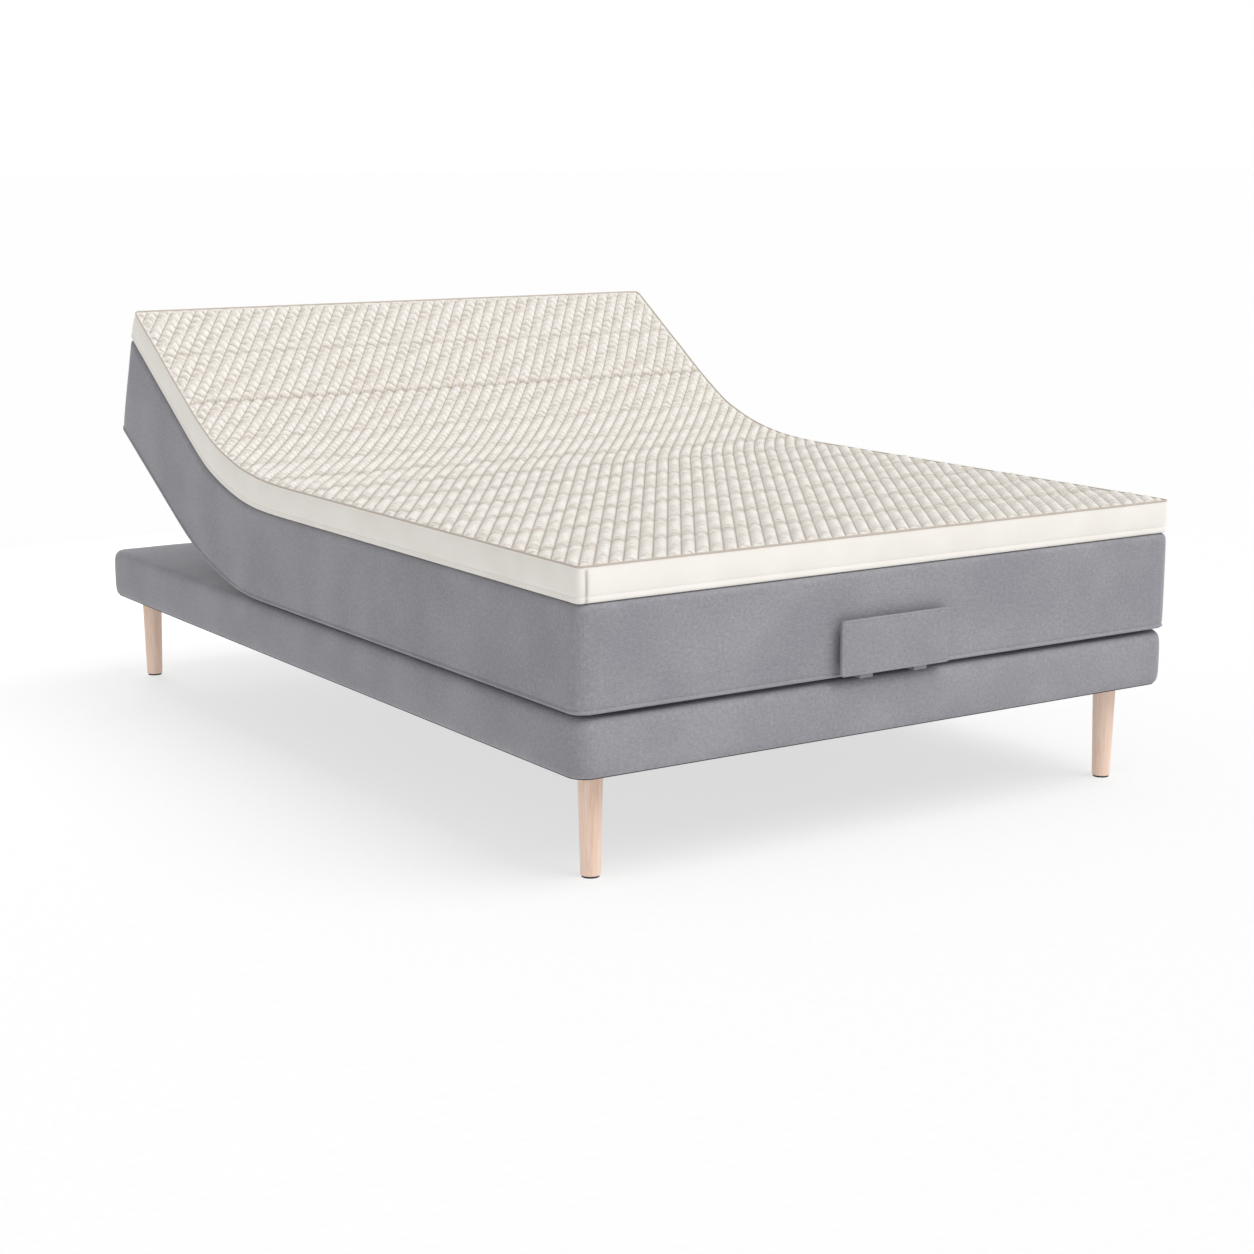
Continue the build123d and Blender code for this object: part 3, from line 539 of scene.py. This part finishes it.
# Painted shade: darker in the quilting grooves, in the channels' pinches, on the flank behind each channel
# and along the deep seam.
groove_shaded = shades(jersey, seams_and_shading, [(0.0, "#f3f1ed"), (0.45, "#e6e2dc"), (1.0, "#b7aea4")])
# Painted shade: the colour darkens in the low parts of the creases and gathers, following the noise and waves
# that raise the bumps.
crease_shaded = shades(jersey, creases.outputs["Fac"], [(0.3, "#f0ece6"), (0.6, "#ffffff")])
turned = node(jersey, "ShaderNodeMapping", {"Vector": cloth, "Rotation": (0, 0, radians(34.5))}).outputs[0]
gathers = node(jersey, "ShaderNodeTexWave", {"Vector": turned, "Scale": 14, "Distortion": 2.5, "Detail": 1,
                                             "Detail Scale": 4}, bands_direction="Y")
gather_shaded = shades(jersey, gathers.outputs["Fac"], [(0.0, "#ece8e3"), (0.45, "#ffffff")])
wrinkle_shaded = node(jersey, "ShaderNodeMix", {0: 1.0, 6: crease_shaded, 7: gather_shaded}, data_type="RGBA",
             blend_type="MULTIPLY")
cream = node(jersey, "ShaderNodeMix", {0: 1.0, 6: groove_shaded, 7: wrinkle_shaded.outputs[2]}, data_type="RGBA",
             blend_type="MULTIPLY")
relief = node(jersey, "ShaderNodeMath", {0: creases.outputs["Fac"], 1: loops.outputs["Fac"]}, operation="ADD")
puckers = node(jersey, "ShaderNodeBump", {"Height": gathers.outputs["Fac"], "Strength": 0.55,
                                          "Distance": 0.0016})
crinkle = node(jersey, "ShaderNodeBump", {"Height": relief.outputs[0], "Strength": 0.5, "Distance": 0.0010,
                                          "Normal": puckers.outputs[0]})
feed(jersey, surface, Base_Color=cream.outputs[2], Normal=crinkle.outputs[0])

# Border cloth: the same knit, unquilted and drawn tight, so it is smoother and a touch greyer.
border, surface = new_finish("plain_jersey_border", Roughness=0.92, IOR=1.45, Sheen_Weight=0.2,
                             Sheen_Roughness=0.5, Sheen_Tint=colour("#fff8ee"))
cloth = node(border, "ShaderNodeAttribute", attribute_name="cloth").outputs["Vector"]
loops = node(border, "ShaderNodeTexNoise", {"Vector": cloth, "Scale": 700, "Detail": 3})
broad = node(border, "ShaderNodeTexNoise", {"Vector": cloth, "Scale": 12, "Detail": 2})
tone = node(border, "ShaderNodeMix", {0: 0.6, 2: loops.outputs["Fac"], 3: broad.outputs["Fac"]})
seams_and_shading = node(border, "ShaderNodeAttribute", attribute_name="seam_line_and_groove_shade").outputs["Fac"]
plain = shades(border, tone.outputs[0], [(0.35, "#e9e5de"), (0.65, "#f0ece6")])
seamed = shades(border, seams_and_shading, [(0.0, "#ffffff"), (1.0, "#bdb5ab")])
shown = node(border, "ShaderNodeMix", {0: 1.0, 6: plain, 7: seamed}, data_type="RGBA", blend_type="MULTIPLY")
ribs = node(border, "ShaderNodeBump", {"Height": loops.outputs["Fac"], "Strength": 0.3, "Distance": 0.0006})
feed(border, surface, Base_Color=shown.outputs[2], Normal=ribs.outputs[0])

# Piping tape: woven cotton, darker and warmer than the knit, with a small twill rib drawn at 3.5 mm.
piping, surface = new_finish("cotton_piping", Roughness=0.85, IOR=1.45)
cloth = node(piping, "ShaderNodeAttribute", attribute_name="cloth").outputs["Vector"]
twill = node(piping, "ShaderNodeTexWave", {"Vector": cloth, "Scale": 105, "Distortion": 0.5},
             bands_direction="DIAGONAL")
cords = node(piping, "ShaderNodeBump", {"Height": twill.outputs["Fac"], "Strength": 0.4, "Distance": 0.0004})
feed(piping, surface, Normal=cords.outputs[0],
     Base_Color=shades(piping, twill.outputs["Fac"], [(0.2, "#b9ada2"), (0.8, "#cbc0b5")]))

QUILT = 8
STEP = (0.00375, 2.090 / 384)
topper_half = (0.695, 1.050)
topper_middle = 0.015
rim = [(5, 63.0), (4.7, 64.2), (3.9, 65.6), (2.5, 66.2), (1.2, 65.6), (0.7, 64.2), (1.2, 62.8),
       (2.2, 62.0), (2.2, 60.6), (1.4, 57), (0.7, 51), (0.2, 43), (0, 34), (0.2, 25), (0.8, 17),
       (1.4, 13.4), (2.1, 12.2), (1.5, 11.2), (0.9, 8.4), (1.0, 5), (1.9, 2.2), (3.8, 0.7), (8, 0)]
rim = [(inset * mm, 0.5055 + height * mm) for inset, height in rim]
columns = np.arange(-184, 185) * STEP[0]
rows = (np.arange(385) - 192) * STEP[1]
flat, lines, faces, bands = sewn_shell(columns, rows, topper_half, topper_middle, 0.014, rim, True)
top_faces = int((bands == 0).sum())
quads = np.array(faces[:top_faces])
j, i = np.divmod(np.arange(top_faces), len(columns) - 1)
across_groove = ((i + j + 1) % QUILT == 0)[:, None]
one = np.where(across_groove, quads[:, [0, 1, 3]], quads[:, [0, 1, 2]])
two = np.where(across_groove, quads[:, [1, 2, 3]], quads[:, [0, 2, 3]])
faces = one.tolist() + two.tolist() + faces[top_faces:]
bands = np.concatenate([np.zeros(2 * top_faces, int), bands[top_faces:]])

x, y = flat[:, 0], flat[:, 1]
inset = np.minimum(topper_half[0] - np.abs(x), topper_half[1] - np.abs(y - topper_middle))
on_top = np.zeros(len(flat), bool)
on_top[:len(columns) * len(rows)] = True
u = x / (QUILT * STEP[0]) + (y - lines.min()) / (QUILT * STEP[1])
v = x / (QUILT * STEP[0]) - (y - lines.min()) / (QUILT * STEP[1])
from_groove = [2 * np.abs(k - np.round(k)) for k in (u, v)]
puff = [1 - (1 - d) ** 2.1 for d in from_groove]
quilt_ramp = ease(inset, 0.005, 0.018)
back_share = ease(y, 0.34, 0.60)
cross_puff = 1 - (0.45 + 0.45 * back_share) * (1 - puff[0])
column = np.floor(v)

SEAM = 0.720
SEAM_DEPTH = 0.0060
CHANNEL_PITCH = 0.175
PILLOW = 0.0085
GATHER_PITCH = 0.031
GATHER_HEIGHT = 0.0011
CORNER_SEAM = -0.676
pinch = np.zeros_like(x)
slack = np.zeros_like(x)
shade = np.zeros_like(x)
for k in range(-9, 2):
    at = SEAM + k * CHANNEL_PITCH
    level = ease(at, 0.60, 0.20)
    stagger = 0.002 + 0.018 * level
    offset = stagger * (0.6 * np.sin(2.4 * column + k) + 0.4 * np.sin(0.9 * column + 2 * k))
    gap = y - at - offset - 0.004 * puff[1]
    width = 0.006 + 0.004 * level
    strength = 1.0 if k == 0 else 0.8
    pinch = np.maximum(pinch, strength * np.exp(-(gap / width) ** 2))
    slack = np.maximum(slack, strength * np.exp(-(gap / (3.6 * width)) ** 2))
    shade = np.maximum(shade, level * np.exp(-((gap - 0.012) / 0.012) ** 2))
lift = (PILLOW + 0.0015 * back_share) * puff[1] * cross_puff * quilt_ramp
lift *= 1 - 0.45 * pinch - 0.45 * slack
level_share = ease(y, 0.55, 0.10)
gather = np.sin(2 * pi * (y + 0.010 * puff[1]) / GATHER_PITCH + 1.3 * column)
lift += GATHER_HEIGHT * gather * puff[1] * (0.25 + 0.75 * slack) * level_share * quilt_ramp
uneven = 0.0010 * drift(x, y, 0.06, 7) * puff[0] * puff[1] * quilt_ramp
tuck = SEAM_DEPTH * np.exp(-((y - SEAM) / 0.006) ** 2)
# Painted shade, kept on each point: darker along the quilting grooves, in the channels' pinches, on the flank
# behind each channel where the seam pulls it in, and along the deep seam on the back. The corner seam's line
# is added below.
seam_line_and_groove_shade = np.maximum.reduce([ease(from_groove[1], 0.2, 0.0),
                              (0.40 + 0.45 * back_share) * ease(from_groove[0], 0.22, 0.0),
                              0.75 * pinch,
                              0.60 * shade,
                              np.exp(-((y - SEAM) / 0.005) ** 2)])
seam_line_and_groove_shade = np.where(on_top, seam_line_and_groove_shade * ease(inset, 0.004, 0.012), 0)
cloth_at = flat.copy()
flat[:, 2] += np.where(on_top, (lift + uneven) - tuck * ease(inset, 0.004, 0.02), 0)
low_edge = ease(flat[:, 2], 0.507, 0.512)
side = ease(topper_half[0] - np.abs(x), 0.006, 0.0)
flat[:, 0] -= np.sign(x) * side * low_edge * 0.0009 * (1 + drift(y, flat[:, 2], 0.27, 8))
foot = ease(y, topper_middle - topper_half[1] + 0.006, topper_middle - topper_half[1])
flat[:, 1] += foot * low_edge * 0.0009 * (1 + drift(x, flat[:, 2], 0.31, 9))
# The corner seam is pushed out 1.4 mm and its line is darkened.
corner_seam = np.exp(-((x - CORNER_SEAM) / 0.0030) ** 2) * foot * (flat[:, 2] < 0.566)
flat[:, 1] += 0.0014 * corner_seam
seam_line_and_groove_shade = np.maximum(seam_line_and_groove_shade, corner_seam)
flat[:, 2] += HEAD_RISE * np.clip((flat[:, 1] - RISE_FROM) / RISE_RUN, 0, 1)
shape = raised(flat)
last = len(rim)
toppers = sectioned("topper_cover", shape, lines, cloth_at, faces, bands,
                    [(border, range(8, last + 1)), (jersey, [0, 1]), (piping, range(2, 8))], {
                        "calf": ["calf_topper"],
                        "thigh": ["thigh_topper"],
                        "lumbar": ["seat_topper", "lumbar_topper"],
                        "back": ["back_topper"]}, seam_line_and_groove_shade)

# Topper retainer
# A thin padded plate at the foot end on two cranked steel straps, covered in the same grey cloth.
# Its cover is closed with a seam a few millimetres in from the edge.
# Grey powder coat: the shade of the cloth, satin, with the same orange peel of about 1.5 mm.
grey_coat = powder_coat("grey_powder_coat", 0.5, "#828187", "#8e8d93")
nodes["retainer_straps"].data.materials.clear()
nodes["retainer_straps"].data.materials.append(grey_coat)

plate_low, plate_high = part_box("retainer_plate")
plate_half = ((plate_high.x - plate_low.x) / 2, (plate_high.z - plate_low.z) / 2)
plate_x = (plate_high.x + plate_low.x) / 2
plate_z = (plate_high.z + plate_low.z) / 2
rim = [(9, 7.2), (5.4, 7.2), (4.8, 6.9), (4.2, 7.2), (1.6, 7.4), (0.5, 6.9), (0, 5.8), (0, 3), (0.2, 1.4),
       (0.9, 0.3), (3, 0)]
rim = [(inset * mm, height * mm) for inset, height in rim]
columns = np.linspace(-plate_half[0] + 0.008, plate_half[0] - 0.008, 61)
rows = np.linspace(-plate_half[1] + 0.008, plate_half[1] - 0.008, 27)
lying, _, faces, bands = sewn_shell(columns, rows, plate_half, 0, 0.005, rim, True)
puffed = ease(plate_half[0] - np.abs(lying[:, 0]), 0.008, 0.03)
puffed *= ease(plate_half[1] - np.abs(lying[:, 1]), 0.008, 0.03)
wadding = puffed * 0.0006 * (1 + 0.4 * drift(lying[:, 0], lying[:, 1], 0.12, 3))
lying[:, 2] += np.where(lying[:, 2] > 0.007, wadding, 0)
points = np.stack([plate_x + lying[:, 0], plate_high.y - lying[:, 2], plate_z + lying[:, 1]], -1)
plate = cloth_piece("retainer_upholstery", points, points, faces, [(melange, range(99))], bands)
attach(plate, "calf")
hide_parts("retainer_plate")

# Floor and light
# A plain white lit floor, so that the shadow under the bed stays pale, under a bright horizon, a dimmer
# ceiling, one broad soft key light above the foot end, and a small fill beyond the head end that
# lights the top of the base.
paper, surface = new_finish("matt_white_floor", Roughness=1.0, Specular_IOR_Level=0.0,
                            Emission_Color=colour("#ffffff"), Emission_Strength=0.68)
place = node(paper, "ShaderNodeTexCoord").outputs["Object"]
tooth = node(paper, "ShaderNodeTexNoise", {"Vector": place, "Scale": 60, "Detail": 2})
feed(paper, surface,
     Base_Color=shades(paper, tooth.outputs["Fac"], [(0.3, "#949494"), (0.7, "#979797")]))
mesh = bpy.data.meshes.new("studio_floor")
mesh.from_pydata([(-90, -90, 0), (90, -90, 0), (90, 90, 0), (-90, 90, 0)], [], [(0, 1, 2, 3)])
mesh.materials.append(paper)
floor = bpy.data.objects.new("studio_floor", mesh)
bpy.context.scene.collection.objects.link(floor)
floor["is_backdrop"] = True

key = bpy.data.lights.new("key_light", "SUN")
key.energy = 2.0
key.angle = radians(50)
key_light = bpy.data.objects.new("key_light", key)
towards = (0.20, -0.28, 0.54)
key_light.rotation_euler = (np.arctan2(np.hypot(towards[0], towards[1]), towards[2]), 0,
                            np.arctan2(towards[0], -towards[1]))
bpy.context.scene.collection.objects.link(key_light)

fill = bpy.data.lights.new("head_fill", "AREA")
fill.size = 1.2
fill.energy = 24
fill_light = bpy.data.objects.new("head_fill", fill)
fill_light.location = (-0.2, 2.7, 0.9)
fill_light.rotation_euler = (radians(71), 0, radians(180))
bpy.context.scene.collection.objects.link(fill_light)

world = bpy.data.worlds.new("studio_air")
world.use_nodes = True
direction = node(world, "ShaderNodeTexCoord").outputs["Generated"]
upward = node(world, "ShaderNodeSeparateXYZ", {"Vector": direction}).outputs["Z"]
air = shades(world, upward, [(0.08, "#ffffff"), (0.42, "#b2b2b2"), (1.0, "#b2b2b2")])
world.node_tree.links.new(air, world.node_tree.nodes["Background"].inputs["Color"])
bpy.context.scene.world = world
bpy.context.scene.view_settings.view_transform = "Standard"

boxes = {"cad": cad_box, "visual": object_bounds()}
